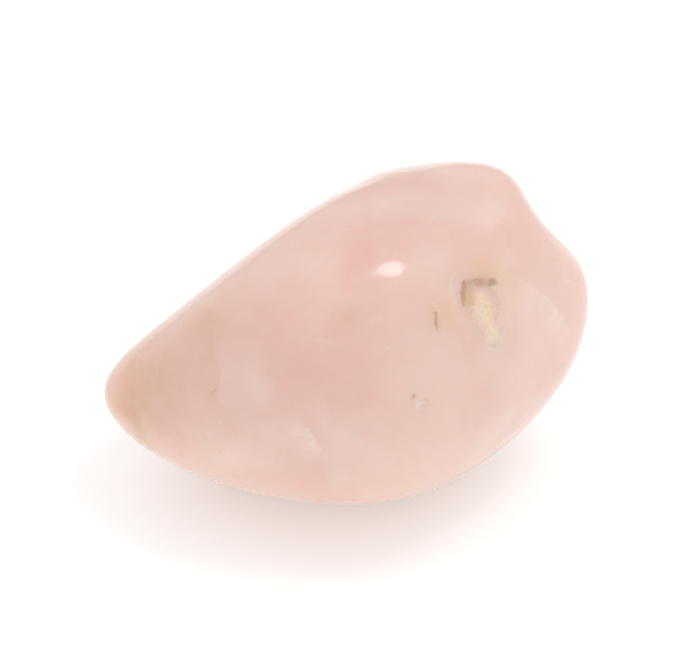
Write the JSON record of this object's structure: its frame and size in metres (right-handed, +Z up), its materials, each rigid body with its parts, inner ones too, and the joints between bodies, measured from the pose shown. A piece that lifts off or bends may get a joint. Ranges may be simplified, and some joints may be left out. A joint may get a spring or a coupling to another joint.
{
  "type": "tumbled stone",
  "caption": "Polished tumbled rose quartz pebble: a rounded, translucent pink stone with worn faces, a beak at one end and an iron-stained crevice, resting on a small worn flat.",
  "frame": {"origin": "on the surface that the stone rests on, below the middle of its box", "axes": "+X from the beak towards the shoulder along the longest side, +Z up from the resting flat along the shortest side, and the side with the stained crevice faces -Y"},
  "size_m": [0.025, 0.02, 0.016],
  "materials": {
    "rose_quartz": "tumbled to a glassy polish, slightly translucent, dull only in its crevices"
  },
  "bodies": {
    "root": {"tumbled_stone": "rose_quartz"}
  },
  "joints": []
}
